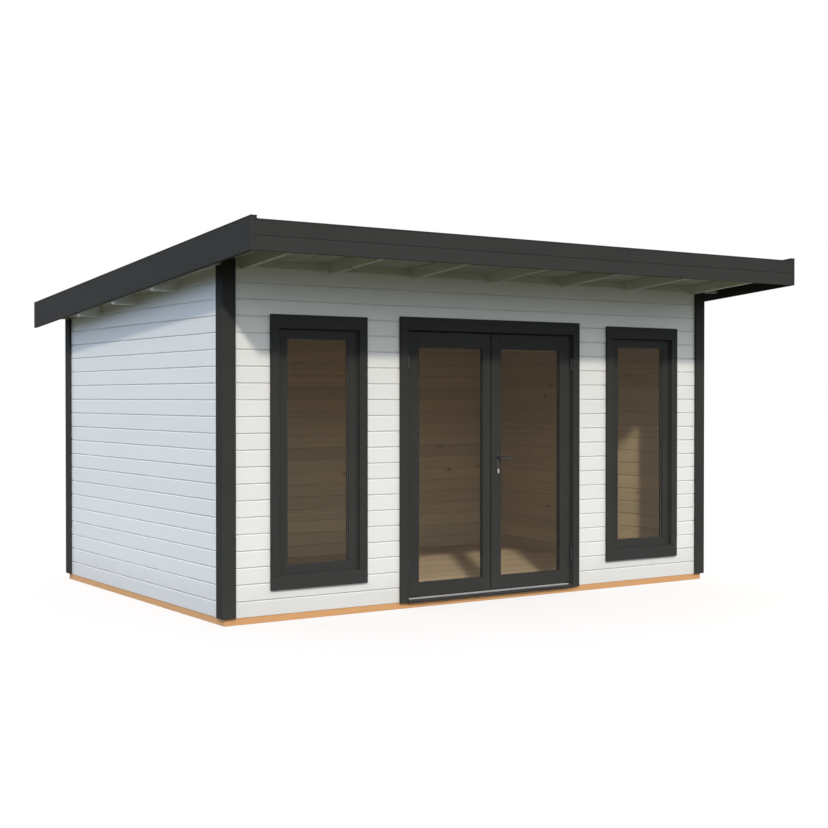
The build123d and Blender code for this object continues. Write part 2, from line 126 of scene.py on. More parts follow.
# End caps of the hinges
HINGE_RADII = (0.0066, 0.0066, 0.0052, 0.0060, 0.0040, 0.0010)
HINGE_RISES = (-0.001, 0.0006, 0.0016, 0.0030, 0.0052, 0.0060)
HINGE_INSET = 0.007

# Eased edges
EASE_TIMBER = 0.0022
EASE_CORNER = 0.005
EASE_JOINERY = 0.0016
EASE_BEAD = 0.0004

# Fixings: radius and rise of a head
SCREW = (0.0042, 0.0009)
NAIL = (0.0032, 0.0007)
PLATE_SCREW = (0.0034, 0.0008)
SCREW_RISE = SCREW[1]

# Rows of fixings: spacing, and margin at both ends
POST_ROW = (0.46, 0.07)
UPRIGHT_ROW = (0.45, 0.06)
LEVEL_ROW = (0.40, 0.04)
FASCIA_ROW = (0.703, 0.333)
BARGE_ROW = (0.55, 0.10)
SLAT_ROW = (0.30, 0.06)

# Places of the rows: in from a board's edge, or as a level of the roof
POST_ROW_INSETS = (0.030, 0.080)
SIDE_ROW_INSET = 0.062
FASCIA_ROW_INSET = 0.022
BARGE_ROW_LEVELS = (-0.03, 0.01)

# Camera at the photograph's place and angle
CAMERA_PLACE = (-6.4028, -10.0460, 1.5573)
CAMERA_TURN = (math.pi / 2 - 0.012249, 0.0, -0.588521)
CAMERA_LENS = 60.53

# Lamps: name, where the light comes from, strength, spread in degrees and colour
SUN_FROM = (-0.424, -0.726, 0.546)
LAMPS = (
    ("sun", SUN_FROM, 1.94, 3.0, (1.0, 0.91, 0.79)),
    ("glow", SUN_FROM, 0.18, 42.0, (1.0, 0.90, 0.80)),
    ("side_light", (-1.0, 0.22, 0.30), 0.56, 60.0, (0.0, 0.36, 1.0)),
)

# Sky and floor
SKY_COLOUR = (0.92, 1.0, 1.10, 1.0)
WHITE = (1.0, 1.0, 1.0, 1.0)
FLOOR_SEEN = (0.22, 0.22, 0.22, 1.0)
FLOOR_BOUNCE = (0.078, 0.078, 0.040, 1.0)
FLOOR_LIFT = (0.76, 0.74, 0.72, 1.0)
FLOOR_REACH = 90.0

# Colours of bare or stained timber: early wood, late wood and knots
ROOM_SPRUCE = ((0.69, 0.54, 0.37, 1), (0.51, 0.35, 0.20, 1), (0.20, 0.10, 0.045, 1))
EAVE_STAIN = ((0.70, 0.71, 0.64, 1), (0.60, 0.60, 0.52, 1), (0.45, 0.42, 0.33, 1))
CASING_SPRUCE = ((0.70, 0.51, 0.31, 1), (0.50, 0.31, 0.15, 1), (0.20, 0.09, 0.035, 1))
BEAM_PINE = ((0.81, 0.43, 0.18, 1), (0.53, 0.25, 0.095, 1), (0.15, 0.065, 0.03, 1))
FLOOR_PINE = ((0.74, 0.56, 0.40, 1), (0.54, 0.38, 0.235, 1), (0.20, 0.10, 0.05, 1))

# Other colours
WALL_WHITE = (0.83, 0.83, 0.82, 1)
WALL_SPLASH = (0.50, 0.45, 0.37, 1)
ANTHRACITE = (0.0458, 0.0458, 0.0445, 1)
TRIM_DUST = (0.056, 0.054, 0.049, 1)
FELT_GREYS = ((0.085, 0.090, 0.090, 1), (0.125, 0.125, 0.118, 1))
GLASS_TINT = (0.97, 0.985, 0.97, 1)
GLASS_SHADE = (0.97, 0.98, 0.97, 1)
RUBBER_BLACK = (0.018, 0.018, 0.018, 1)

# Where in a log a board's grain may start, and the generator of all chance values
GRAIN_STARTS = ((0.0, -0.05, 0.02), (40.0, 0.05, 0.10))
seeds = np.random.default_rng(12)


# Lines of the building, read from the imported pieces

def solids(node):
    """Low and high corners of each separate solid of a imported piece, as solids by 2 by 3.

    Corners in the same place count as one. Every corner takes the lowest number among the
    triangles that meet in it, again and again, until each solid has one number.
    """
    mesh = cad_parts[node].data
    places = np.empty(len(mesh.vertices) * 3)
    mesh.vertices.foreach_get("co", places)
    places = places.reshape(-1, 3).round(MERGE_DIGITS)
    corners, merged = np.unique(places, axis=0, return_inverse=True)
    loops = np.empty(len(mesh.loops), dtype=int)
    mesh.loops.foreach_get("vertex_index", loops)
    triangles = merged.ravel()[loops].reshape(-1, 3)
    numbers = np.arange(len(corners))
    while True:
        lowest = numbers.copy()
        np.minimum.at(lowest, triangles, numbers[triangles].min(axis=1)[:, None])
        if np.array_equal(lowest, numbers):
            break
        numbers = lowest
    own = [corners[numbers == number] for number in np.unique(numbers)]
    return np.array([(solid.min(axis=0), solid.max(axis=0)) for solid in own])


def each_window(node):
    """Box round the pieces of a node at the left window, then at the right window."""
    boxes = solids(node)
    for side in (-1, 1):
        own = boxes[np.sign(boxes.mean(axis=1)[:, X]) == side]
        yield own[:, 0].min(axis=0), own[:, 1].max(axis=0)


def span(node, axis):
    """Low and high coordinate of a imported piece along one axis."""
    low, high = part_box(node)
    return low[axis], high[axis]


left_x, inner_left_x = span("left_wall", X)
inner_right_x, right_x = span("right_wall", X)
front_y, inner_front_y = span("front_wall_left", Y)
inner_back_y, back_y = span("back_wall", Y)
wall_foot, front_wall_top = span("front_wall_left", Z)
back_wall_top = span("back_wall", Z)[1]
roof_front_y = span("bargeboards", Y)[0]
roof_left_x, roof_right_x = span("bargeboards", X)
plate_left_x, plate_right_x = span("roof_boards", X)
boards_front_y, boards_back_y = span("roof_boards", Y)
boards_low_z = span("roof_boards", Z)[0]
leaf_front_y, leaf_back_y = span("door_left_stiles", Y)


def roof_z(y, level=0.0):
    """Height at depth y of the plane that lies level above the underside of the roof boards."""
    return boards_low_z + ROOF_FALL * (boards_back_y - y) + level


def roof_levels(low, high):
    """Levels of the roof between which a sloped piece with these corners lies."""
    return low[Z] - roof_z(high[Y]), high[Z] - roof_z(low[Y])


# Solids and pieces

def linked(name, data):
    """A new object in the scene."""
    item = bpy.data.objects.new(name, data)
    bpy.context.scene.collection.objects.link(item)
    return item


def full_turn(count):
    """Angles spaced evenly round a circle."""
    return np.linspace(0, 2 * math.pi, count, endpoint=False)


class Batch:
    """Closed solids gathered for one mesh, each with its own run of the grain."""

    def __init__(self):
        self.points = []
        self.grain = []
        self.tone = []
        self.faces = []
        self.count = 0

    def add(self, rings, along=X):
        """Closed skin over rings, an array of stations by outline points by 3.

        Each ring joins the next with a row of four-cornered faces, and one face closes each
        end. Where the skin holds a negative volume, every face is turned round. The grain's
        coordinates are (along, across, deep) from the solid's middle, moved by a chance step,
        so that each solid is cut from another place of a log.
        """
        rings = np.asarray(rings, dtype=float)
        stations, outline = rings.shape[:2]
        points = rings.reshape(-1, 3)
        place = np.arange(stations * outline).reshape(stations, outline)
        first, second = place[:-1], place[1:]
        sides = [first, np.roll(first, -1, axis=1), np.roll(second, -1, axis=1), second]
        quads = np.stack(sides, axis=-1).reshape(-1, 4)
        ends = [place[0, ::-1], place[-1]]
        middle = (points.min(axis=0) + points.max(axis=0)) / 2
        volume = 0.0
        fans = [quads[:, [0, 1, 2]], quads[:, [0, 2, 3]]]
        for end in ends:
            fans.append(np.stack([np.full(outline - 2, end[0]), end[1:-1], end[2:]], axis=-1))
        for fan in fans:
            a, b, c = (points[fan[:, i]] - middle for i in range(3))
            volume += np.einsum("ij,ij->", a, np.cross(b, c))
        turn = 1 if volume > 0 else -1
        self.faces += (quads[:, ::turn] + self.count).tolist()
        self.faces += [(end[::turn] + self.count).tolist() for end in ends]
        size = np.ptp(points, axis=0)
        others = (axis for axis in (X, Y, Z) if axis != along)
        across, deep = sorted(others, key=lambda axis: -size[axis])
        local = (points - middle)[:, [along, across, deep]]
        self.grain.append(local + seeds.uniform(*GRAIN_STARTS))
        self.tone.append(np.full(len(points), seeds.uniform()))
        self.points.append(points)
        self.count += len(points)

    def plank(self, low, high, along=None):
        """Square-cornered piece between two corners, with its grain along its longest side."""
        low, high = np.asarray(low, dtype=float), np.asarray(high, dtype=float)
        axis = int(np.argmax(high - low)) if along is None else along
        first, second = (other for other in (X, Y, Z) if other != axis)
        rings = np.empty((2, 4, 3))
        rings[0, :, axis], rings[1, :, axis] = low[axis], high[axis]
        rings[:, :, first] = np.array([low, high, high, low])[:, first]
        rings[:, :, second] = np.array([low, low, high, high])[:, second]
        self.add(rings, axis)

    def down_roof(self, xs, levels, ys):
        """Outline of (x, level) points carried down the roof between two depths."""
        ys = np.array(ys)[:, None] + np.zeros(len(xs))
        self.add(np.stack([np.array([xs, xs]), ys, roof_z(ys, np.array(levels))], axis=-1), Y)

    def sloped(self, x0, x1, y0, y1, low, high):
        """Piece that runs down the roof from y0 to y1, between two levels of the roof."""
        self.down_roof([x0, x1, x1, x0], [low, low, high, high], (y0, y1))

    def along_x(self, x0, x1, outline):
        """Piece from x0 to x1 with an outline of (y, z) corners."""
        corners = np.array(outline, dtype=float)
        rings = np.empty((2, len(corners), 3))
        rings[0, :, X], rings[1, :, X] = x0, x1
        rings[:, :, 1:] = corners
        self.add(rings, X)

    def under_roof(self, low, high, level=0.0):
        """Piece between two corners, with its top cut to a level of the roof."""
        (x0, y0, z0), (x1, y1, _) = low, high
        top0, top1 = roof_z(y0, level), roof_z(y1, level)
        self.along_x(x0, x1, [(y0, z0), (y1, z0), (y1, top1), (y0, top0)])

    def mitred(self, low, high, section):
        """Four pieces with mitred ends inside a rectangle of x and z.

        section holds (inward, y) corners: a corner of each end lies inward from both sides
        that meet there, so the ends are cut at 45 degrees.
        """
        inward, ys = np.array(section, dtype=float).T
        (x0, _, z0), (x1, _, z1) = low, high
        corners = [(x0, z0, 1, 1), (x1, z0, -1, 1), (x1, z1, -1, -1), (x0, z1, 1, -1)]
        ends = [np.stack([x + sx * inward, ys, z + sz * inward], axis=-1)
                for x, z, sx, sz in corners]
        for i in range(4):
            self.add([ends[i], ends[(i + 1) % 4]], (X, Z)[i % 2])

    def turned(self, place, axis, radii, heights, sides):
        """Solid turned about an axis: circles of the radii at the heights, from a place."""
        turn = full_turn(sides)
        first, second = (other for other in (X, Y, Z) if other != axis)
        rings = np.zeros((len(radii), sides, 3))
        rings[:, :, first] = np.outer(radii, np.cos(turn))
        rings[:, :, second] = np.outer(radii, np.sin(turn))
        rings[:, :, axis] = np.reshape(heights, (-1, 1))
        self.add(rings + np.asarray(place, dtype=float), axis)

    def heads(self, places, axis, outward, size, sides=10):
        """Low domed heads of screws or nails, of a (radius, rise).

        Each is a dome turned about its axis: the radius falls as the cosine and the height
        grows as the sine of a quarter turn, from a foot sunk in the board to a small flat.
        """
        quarter = np.radians([0.0, 35.0, 65.0])
        radius, rise = size
        radii = radius * np.concatenate([[1.0], np.cos(quarter), [0.12]])
        heights = rise * np.concatenate([[-1.0], np.sin(quarter), [1.0]])
        for place in places:
            self.turned(place, axis, radii, outward * heights, sides)

    def row(self, start, end, spaced, axis, outward, size=SCREW):
        """Heads spaced evenly along a line, the first and last a margin from its ends."""
        spacing, margin = spaced
        start, end = np.array(start, dtype=float), np.array(end, dtype=float)
        length = np.linalg.norm(end - start)
        count = max(2, round((length - 2 * margin) / spacing) + 1)
        share = np.linspace(margin / length, 1 - margin / length, count)[:, None]
        self.heads(start + (end - start) * share, axis, outward, size)

    def piece(self, name, body, finish, replaces=(), ease=0.0, round_parts=False):
        """The gathered solids as one object that rides on a body."""
        mesh = bpy.data.meshes.new(name)
        mesh.from_pydata(np.concatenate(self.points).tolist(), [], self.faces)
        grain = mesh.attributes.new("grain", "FLOAT_VECTOR", "POINT")
        grain.data.foreach_set("vector", np.concatenate(self.grain).ravel())
        tone = mesh.attributes.new("tone", "FLOAT", "POINT")
        tone.data.foreach_set("value", np.concatenate(self.tone))
        mesh.materials.append(finish)
        if ease or round_parts:
            mesh.polygons.foreach_set("use_smooth", np.ones(len(mesh.polygons), dtype=bool))
        if round_parts:
            mesh.set_sharp_from_angle(angle=math.radians(38))
        item = linked(name, mesh)
        if ease:
            bevel = item.modifiers.new("eased_edges", "BEVEL")
            bevel.width = ease
            bevel.segments = 2
            bevel.limit_method = "ANGLE"
            bevel.angle_limit = math.radians(40)
            bevel.harden_normals = not round_parts
        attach(item, body)
        if replaces:
            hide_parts(*replaces)


# Node trees

def math_node(operation, turned=False):
    """Method that adds one Math node on a field and other values, with the field last if turned."""
    def method(field, *others):
        values = dict(enumerate((*others, field) if turned else (field, *others)))
        return field.finish.node("ShaderNodeMath", {"operation": operation}, values)
    return method


class Field:
    """A socket in a finish. An expression on fields adds Math nodes to the same finish."""

    def __init__(self, finish, socket):
        self.finish = finish
        self.socket = socket

    __add__ = math_node("ADD")
    __radd__ = math_node("ADD", turned=True)
    __sub__ = math_node("SUBTRACT")
    __rsub__ = math_node("SUBTRACT", turned=True)
    __mul__ = math_node("MULTIPLY")
    __rmul__ = math_node("MULTIPLY", turned=True)
    __pow__ = math_node("POWER")
    above = math_node("GREATER_THAN")
    at_least = math_node("MAXIMUM")
    sine = math_node("SINE")
    size = math_node("ABSOLUTE")


class Finish:
    """A material, built node by node."""

    def __init__(self, name, data=None):
        self.material = data or bpy.data.materials.new(name)
        self.material.use_nodes = True
        self.tree = self.material.node_tree
        self.tree.nodes.clear()

    def node(self, kind, settings=None, inputs=None, output=0):
        """A new node. Its settings come first, then its sockets' values and links."""
        node = self.tree.nodes.new(kind)
        for key, value in (settings or {}).items():
            setattr(node, key, value)
        for key, value in (inputs or {}).items():
            if isinstance(value, Field):
                self.tree.links.new(value.socket, node.inputs[key])
            else:
                node.inputs[key].default_value = value
        return Field(self, node.outputs[output])

    def place(self):
        return self.node("ShaderNodeTexCoord", output="Object")

    def height(self):
        """Height of the point above the ground."""
        return self.split(self.place())[Z]

    def grain(self):
        return self.node("ShaderNodeAttribute", {"attribute_name": "grain"}, output="Vector")

    def tone(self):
        return self.node("ShaderNodeAttribute", {"attribute_name": "tone"}, output="Fac")

    def ray(self, kind):
        """1 for rays of one kind."""
        return self.node("ShaderNodeLightPath", output=kind)

    def noise(self, vector, scale, detail=2.0, roughness=0.5):
        inputs = {"Vector": vector, "Scale": scale, "Detail": detail, "Roughness": roughness}
        return self.node("ShaderNodeTexNoise", None, inputs)

    def streaks(self, vector, factors, detail=2.0, roughness=0.5, scale=1.0):
        """Noise that is long where its factor is small."""
        inputs = {0: vector, 1: factors}
        stretched = self.node("ShaderNodeVectorMath", {"operation": "MULTIPLY"}, inputs)
        return self.noise(stretched, scale, detail, roughness)

    def cells(self, vector, scale, output="Distance"):
        return self.node("ShaderNodeTexVoronoi", None, {"Vector": vector, "Scale": scale}, output)

    def split(self, vector):
        first = self.node("ShaderNodeSeparateXYZ", None, {0: vector})
        return [Field(self, socket) for socket in first.socket.node.outputs]

    def joined(self, x, y, z):
        return self.node("ShaderNodeCombineXYZ", None, {0: x, 1: y, 2: z})

    def rise(self, value, low, high):
        """0 at low and below, 1 at high and above, with soft ends."""
        settings = {"interpolation_type": "SMOOTHSTEP"}
        inputs = {"Value": value, "From Min": low, "From Max": high}
        return self.node("ShaderNodeMapRange", settings, inputs)

    def mix(self, amount, first, second):
        inputs = {0: amount, 6: first, 7: second}
        return self.node("ShaderNodeMix", {"data_type": "RGBA"}, inputs, 2)

    def times(self, colour, factor):
        """The colour made lighter or darker by a number."""
        settings = {"data_type": "RGBA", "blend_type": "MULTIPLY"}
        inputs = {0: 1.0, 6: colour, 7: self.joined(factor, factor, factor)}
        return self.node("ShaderNodeMix", settings, inputs, 2)

    def bump(self, height, distance):
        return self.node("ShaderNodeBump", None, {"Height": height, "Distance": distance})

    def end(self, shader):
        world = isinstance(self.material, bpy.types.World)
        out = self.tree.nodes.new("ShaderNodeOutput" + ("World" if world else "Material"))
        self.tree.links.new(shader.socket, out.inputs["Surface"])
        return self.material

    def surface(self, inputs):
        return self.end(self.node("ShaderNodeBsdfPrincipled", None, inputs))


# Timber finishes

def inside_room(finish):
    """1 within the room, 0 on the outer faces of the walls and beyond them."""
    x, y, _ = finish.split(finish.place())
    beyond_side = x.size().above(inner_right_x + INTO_WALL)
    return (1 - beyond_side) * (1 - y.size().above(inner_back_y + INTO_WALL))


def growth(finish, ring_width=0.0048):
    """Growth rings and knots of a board.

    A ring's shade is a power of a sine of the distance from the log's middle line, which
    wanders along the board. Knots lie in about half of the cells of a stretched cell pattern.
    """
    grain = finish.grain()
    along, across, deep = finish.split(grain)
    wander = finish.streaks(grain, (1.0, 4.0, 4.0), scale=1.3) - 0.5
    spot = finish.joined(along * 2.6, across * 7.5, 0.0)
    distance = finish.cells(spot, 1.0)
    chosen = finish.split(finish.cells(spot, 1.0, "Color"))[0].above(0.45)
    knot = (1 - finish.rise(distance, 0.045, 0.085)) * chosen
    halo = (1 - finish.rise(distance, 0.05, 0.30)) * chosen
    near = across + wander * 0.07 + halo * 0.012
    radius = (near * near + deep * deep) ** 0.5
    rings = ((radius * (2 * math.pi / ring_width)).sine() * 0.5 + 0.5) ** 2.2
    return rings, knot, halo


def bare_timber(finish, colours, depth):
    """Colour and height of bare boards: rings, knots, fine fibres and one tone a board."""
    light, late, knot_colour = colours
    rings, knot, halo = growth(finish)
    grain = finish.grain()
    fibres = finish.streaks(grain, (6.0, 420.0, 420.0))
    patches = finish.streaks(grain, (1.4, 9.0, 9.0))
    colour = finish.mix(rings * depth * (0.55 + patches * 0.7), light, late)
    colour = finish.mix(halo * 0.35, colour, late)
    colour = finish.mix(knot * 0.85, colour, knot_colour)
    shade = 0.86 + finish.tone() * 0.16 + (fibres - 0.5) * 0.20 + (patches - 0.5) * 0.14
    height = fibres * 0.5 + rings * 0.35 + knot * 0.4
    return finish.times(colour, shade), height


def low_down(finish, scale, unevenness, low, high):
    """1 near the ground and 0 higher up, with an uneven edge."""
    edge = (finish.noise(finish.place(), scale, 3.0) - 0.5) * unevenness
    return 1 - finish.rise(finish.height() + edge, low, high)


def wall_paint():
    """White paint outside, bare spruce inside."""
    finish = Finish("painted_boards")
    inside = inside_room(finish)
    spruce, height = bare_timber(finish, ROOM_SPRUCE, 0.6)
    knot = growth(finish)[1]
    brush = finish.streaks(finish.grain(), (2.5, 260.0, 260.0), 3.0, 0.6)
    patches = finish.noise(finish.place(), 1.1, 3.0)
    splash = low_down(finish, 7.0, 0.16, 0.06, 0.34)
    shade = 0.965 + finish.tone() * 0.03 + (brush - 0.5) * 0.045 + (patches - 0.5) * 0.05
    paint = finish.times(WALL_WHITE, shade - knot * 0.035 - splash * 0.04)
    paint = finish.mix(splash * 0.16, paint, WALL_SPLASH)
    return finish.surface({
        "Base Color": finish.mix(inside, paint, spruce),
        "Specular IOR Level": 0.3,
        "Roughness": 0.46 + (brush - 0.5) * 0.16 + inside * 0.12,
        "Normal": finish.bump(height * (0.35 + inside * 0.5) + brush * 0.4, 0.0006),
    })


def eave_paint():
    """Rafters, purlins and roof boards: stained outside, bare inside, with painted shade that
    darkens the roof boards outside.
    """
    finish = Finish("stained_eaves_painted_soffit_shade")
    _, y, z = finish.split(finish.place())
    # Painted shade: points in the underside plane of the roof boards get the stain made 34 per cent
    # darker than on the rafters and purlins, standing in for the shade under the eave.
    boards = (z + y * ROOF_FALL).above(roof_z(0) - 0.0004)
    spruce, _ = bare_timber(finish, ROOM_SPRUCE, 0.6)
    stain_and_painted_shade, height = bare_timber(finish, EAVE_STAIN, 0.7)
    stain_and_painted_shade = finish.times(stain_and_painted_shade, 1 - boards * 0.34)
    return finish.surface({
        "Base Color": finish.mix(inside_room(finish), stain_and_painted_shade, spruce),
        "Specular IOR Level": 0.25,
        "Roughness": 0.62,
        "Normal": finish.bump(height, 0.0006),
    })


def dark_paint():
    """Anthracite paint over planed boards, with brush lines, faint rings and dust low down."""
    finish = Finish("anthracite_paint")
    rings, knot, _ = growth(finish)
    brush = finish.streaks(finish.grain(), (2.2, 300.0, 300.0), 3.0, 0.6)
    patches = finish.noise(finish.place(), 2.3, 3.0)
    dust = low_down(finish, 9.0, 0.14, 0.05, 0.40) * 0.35
    shade = 0.90 + finish.tone() * 0.12 + (brush - 0.5) * 0.30 + (patches - 0.5) * 0.26
    paint = finish.times(ANTHRACITE, shade - knot * 0.10)
    return finish.surface({
        "Base Color": finish.mix(dust, paint, TRIM_DUST),
        "Specular IOR Level": 0.01,
        "Roughness": 0.55 + (brush - 0.5) * 0.2 + dust * 0.2,
        "Normal": finish.bump(rings * 0.25 + brush * 0.6 + knot * 0.3, 0.0007),
    })


def inner_timber():
    """Bare spruce of the casings inside."""
    finish = Finish("inner_spruce")
    spruce, height = bare_timber(finish, CASING_SPRUCE, 0.55)
    normal = finish.bump(height, 0.0005)
    return finish.surface({"Base Color": spruce, "Roughness": 0.55, "Normal": normal})


def base_timber():
    """Warm treated pine of the beams, and paler pine of the floor."""
    finish = Finish("treated_pine")
    beams, _ = bare_timber(finish, BEAM_PINE, 0.7)
    laid, height = bare_timber(finish, FLOOR_PINE, 0.6)
    return finish.surface({
        "Base Color": finish.mix(inside_room(finish), beams, laid),
        "Roughness": 0.6,
        "Normal": finish.bump(height, 0.0008),
    })


# Other finishes

def roofing():
    """Roofing felt: mineral grains of mixed greys, with faint rain marks down the slope."""
    finish = Finish("mineral_felt")
    place = finish.place()
    grains = finish.cells(place, 520.0)
    mixed = finish.split(finish.cells(place, 520.0, "Color"))[0]
    marks = finish.streaks(place, (5.0, 0.7, 1.0), 3.0)
    patches = finish.noise(place, 0.9, 4.0)
    shade = 0.72 + mixed * 0.5 + (marks - 0.5) * 0.35 + (patches - 0.5) * 0.3
    return finish.surface({
        "Base Color": finish.times(finish.mix(mixed, *FELT_GREYS), shade),
        "Roughness": 0.88,
        "Normal": finish.bump(1 - grains + marks * 0.4, 0.0009),
    })


def window_glass():
    """Clear glass that lets shadow rays and the soft light in the room straight through."""
    finish = Finish("clear_glass")
    waves = finish.noise(finish.place(), 3.0, 1.0)
    glass = finish.node("ShaderNodeBsdfPrincipled", None, {
        "Base Color": GLASS_TINT, "Roughness": 0.0, "IOR": 1.13, "Transmission Weight": 1.0,
        "Normal": finish.bump(waves, 0.0004),
    })
    clear = finish.node("ShaderNodeBsdfTransparent", None, {"Color": GLASS_SHADE})
    straight = finish.ray("Is Shadow Ray").at_least(finish.ray("Is Diffuse Ray"))
    return finish.end(finish.node("ShaderNodeMixShader", None, {0: straight, 1: glass, 2: clear}))


def metal(name, colour, metallic, roughness, scratch):
    """Metal with fine marks, a faint unevenness and slightly varied gloss."""
    finish = Finish(name)
    place = finish.place()
    marks = finish.streaks(place, scratch, 3.0, 0.65)
    patches = finish.noise(place, 24.0, 3.0)
    shade = 0.92 + (marks - 0.5) * 0.25 + (patches - 0.5) * 0.2
    return finish.surface({
        "Base Color": finish.times(colour, shade),
        "Metallic": metallic,
        "Roughness": roughness + (marks - 0.5) * 0.2,
        "Normal": finish.bump(marks, 0.00012),
    })


def rubber():
    """Black rubber with a faint bloom."""
    finish = Finish("gasket_rubber")
    bloom = finish.noise(finish.place(), 60.0, 3.0)
    return finish.surface({
        "Base Color": finish.times(RUBBER_BLACK, 0.8 + bloom * 0.5),
        "Roughness": 0.7 + (bloom - 0.5) * 0.2,
        "Normal": finish.bump(bloom, 0.0002),
    })


wall_finish = wall_paint()
eave_finish = eave_paint()
dark_finish = dark_paint()
inner_finish = inner_timber()
base_finish = base_timber()
felt_finish = roofing()
glass_finish = window_glass()
black_metal = metal("black_coating", (0.022, 0.022, 0.023, 1), 0.0, 0.42, (40.0, 40.0, 900.0))
strip_metal = metal("ribbed_aluminium", (0.52, 0.53, 0.53, 1), 1.0, 0.40, (6.0, 900.0, 900.0))
spacer_metal = metal("spacer_coating", (0.27, 0.27, 0.27, 1), 1.0, 0.5, (90.0, 90.0, 90.0))
lock_metal = metal("brushed_nickel", (0.66, 0.62, 0.54, 1), 1.0, 0.30, (900.0, 30.0, 60.0))
rubber_finish = rubber()


# Boards of walls, roof and floor

def board_section(cover, thickness, chamfer):
    """Section of a grooved board as (depth, height) corners.

    Both faces have a chamfer at the joint, and a narrow gap runs a few millimetres in from
    it before the boards touch.
    """
    c, t, top = chamfer, thickness, cover - BOARD_GAP
    outer, inner = c + GAP_DEPTH, t - c - GAP_DEPTH
    return np.array([
        (0, c), (c, 0), (t - c, 0), (t, c), (t, top - c), (t - c, top), (inner, top),
        (inner, cover), (outer, cover), (outer, top), (c, top), (0, top - c),
    ])


def wall_stations(start, end, low, tops, openings):
    """Runs of one board along a wall, each a list of (place, lowest, highest) stations.

    The board is cut at every opening and where the wall's sloping top crosses it. Between two
    cuts it keeps what no opening takes, and it stops where nothing is left.
    """
    high = low + WALL_COVER
    slope = (tops[1] - tops[0]) / (end - start)
    met = [opening for opening in openings if opening[2] < high and opening[3] > low]
    cuts = {start, end}.union(*(opening[:2] for opening in met))
    if slope:
        crossings = [start + (z - tops[0]) / slope for z in (low + LEAST_BOARD, high)]
        cuts |= {s for s in crossings if start < s < end}
    cuts = sorted(cuts)
    runs = [[]]
    for a, b in zip(cuts, cuts[1:]):
        bottom = max(low, wall_foot)
        limits = [min(high, tops[0] + slope * (s - start)) for s in (a, b)]
        for s0, s1, z0, z1 in met:
            if s0 < (a + b) / 2 < s1:
                if z0 <= low:
                    bottom = z1
                else:
                    limits = [min(limit, z0) for limit in limits]
        if min(limits) - bottom < LEAST_BOARD / 2:
            runs.append([])
            continue
        stations = [(a, bottom, limits[0]), (b, bottom, limits[1])]
        if runs[-1] and np.allclose(runs[-1][-1], stations[0]):
            stations = stations[1:]
        runs[-1] += stations
    return [np.array(run) for run in runs if run]


def boarded_wall(name, nodes, along, faces, ends, tops, openings=()):
    """Level boards of one wall, each a section carried along it and held to its cuts.

    The lowest board starts a little below the wall's foot and is cut off there.
    """
    batch = Batch()
    outer, inner = faces
    section = board_section(WALL_COVER, abs(inner - outer), WALL_CHAMFER)
    depth = outer + math.copysign(1, inner - outer) * section[:, 0]
    for low in np.arange(wall_foot - FIRST_BOARD_DROP, max(tops) - LEAST_BOARD, WALL_COVER):
        for run in wall_stations(*ends, low, tops, openings):
            rings = np.empty((len(run), len(section), 3))
            rings[:, :, along] = run[:, :1]
            rings[:, :, Y if along == X else X] = depth
            rings[:, :, Z] = np.clip(low + section[:, 1], run[:, 1:2], run[:, 2:3])
            batch.add(rings, along)
    batch.piece(name, "cabin", wall_finish, nodes)


def front_wall():
    """Front wall, open at the door and at both windows."""
    door_left, door_right = span("front_wall_over_door", X)
    openings = [(door_left, door_right, BELOW_WALL, span("front_wall_over_door", Z)[0])]
    for low, high in each_window("window_linings"):
        openings.append((low[X], high[X], low[Z], high[Z]))
    nodes = ("front_wall_left", "front_wall_right", "front_wall_over_door")
    boarded_wall("front_wall_boards", nodes, X, (front_y, inner_front_y), (left_x, right_x),
                 (front_wall_top, front_wall_top), openings)


def back_wall():
    boarded_wall("back_wall_boards", ("back_wall",), X, (back_y, inner_back_y),
                 (left_x, right_x), (back_wall_top, back_wall_top))


def side_walls():
    """Side walls, with their tops cut to the roof's fall and notched for the purlins."""
    notches = [(low[Y], high[Y], low[Z], ABOVE_WALL) for low, high in solids("purlins")]
    ends = inner_front_y, inner_back_y
    tops = [roof_z(y) for y in ends]
    for name, *faces in (("left_wall", left_x, inner_left_x),
                         ("right_wall", right_x, inner_right_x)):
        boarded_wall(name + "_boards", (name,), Y, faces, ends, tops, notches)


def roof_boards():
    """Boards that run down the roof, with their chamfers below."""
    batch = Batch()
    thickness = solids("roof_boards")[0][1][Z] - roof_z(boards_front_y)
    count = round((plate_right_x - plate_left_x) / ROOF_COVER)
    cover = (plate_right_x - plate_left_x) / count
    c, t, top = ROOF_CHAMFER, thickness, cover - BOARD_GAP
    section = np.array([(0, c), (c, 0), (top - c, 0), (top, c), (top, t), (0, t)])
    for i in range(count):
        xs = plate_left_x + i * cover + section[:, 0]
        batch.down_roof(xs, section[:, 1], (boards_front_y, boards_back_y))
    batch.piece("roof_boards_grooved", "cabin", eave_finish, ("roof_boards",))


def floor():
    """Floor boards along the front, with fine chamfers above."""
    batch = Batch()
    low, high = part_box("floor_boards")
    count = round((high.y - low.y) / FLOOR_COVER)
    cover = (high.y - low.y) / count
    c, t, top = FLOOR_CHAMFER, high.z - low.z, cover - BOARD_GAP
    for i in range(count):
        y = low.y + i * cover
        outline = [(0, 0), (top, 0), (top, t - c), (top - c, t), (c, t), (0, t - c)]
        batch.along_x(low.x, high.x, [(y + a, low.z + b) for a, b in outline])
    batch.piece("floor_boards_laid", "cabin", base_finish, ("floor_boards",))


def planks(name, finish, *nodes, body="cabin", ease=EASE_TIMBER):
    """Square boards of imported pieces, each with its own grain and eased edges."""
    batch = Batch()
    for node in nodes:
        for low, high in solids(node):
            batch.plank(low, high)
    batch.piece(name, body, finish, nodes, ease)


def base():
    planks("long_beams", base_finish, "base_long_beams")
    planks("cross_beams", base_finish, "base_cross_beams")


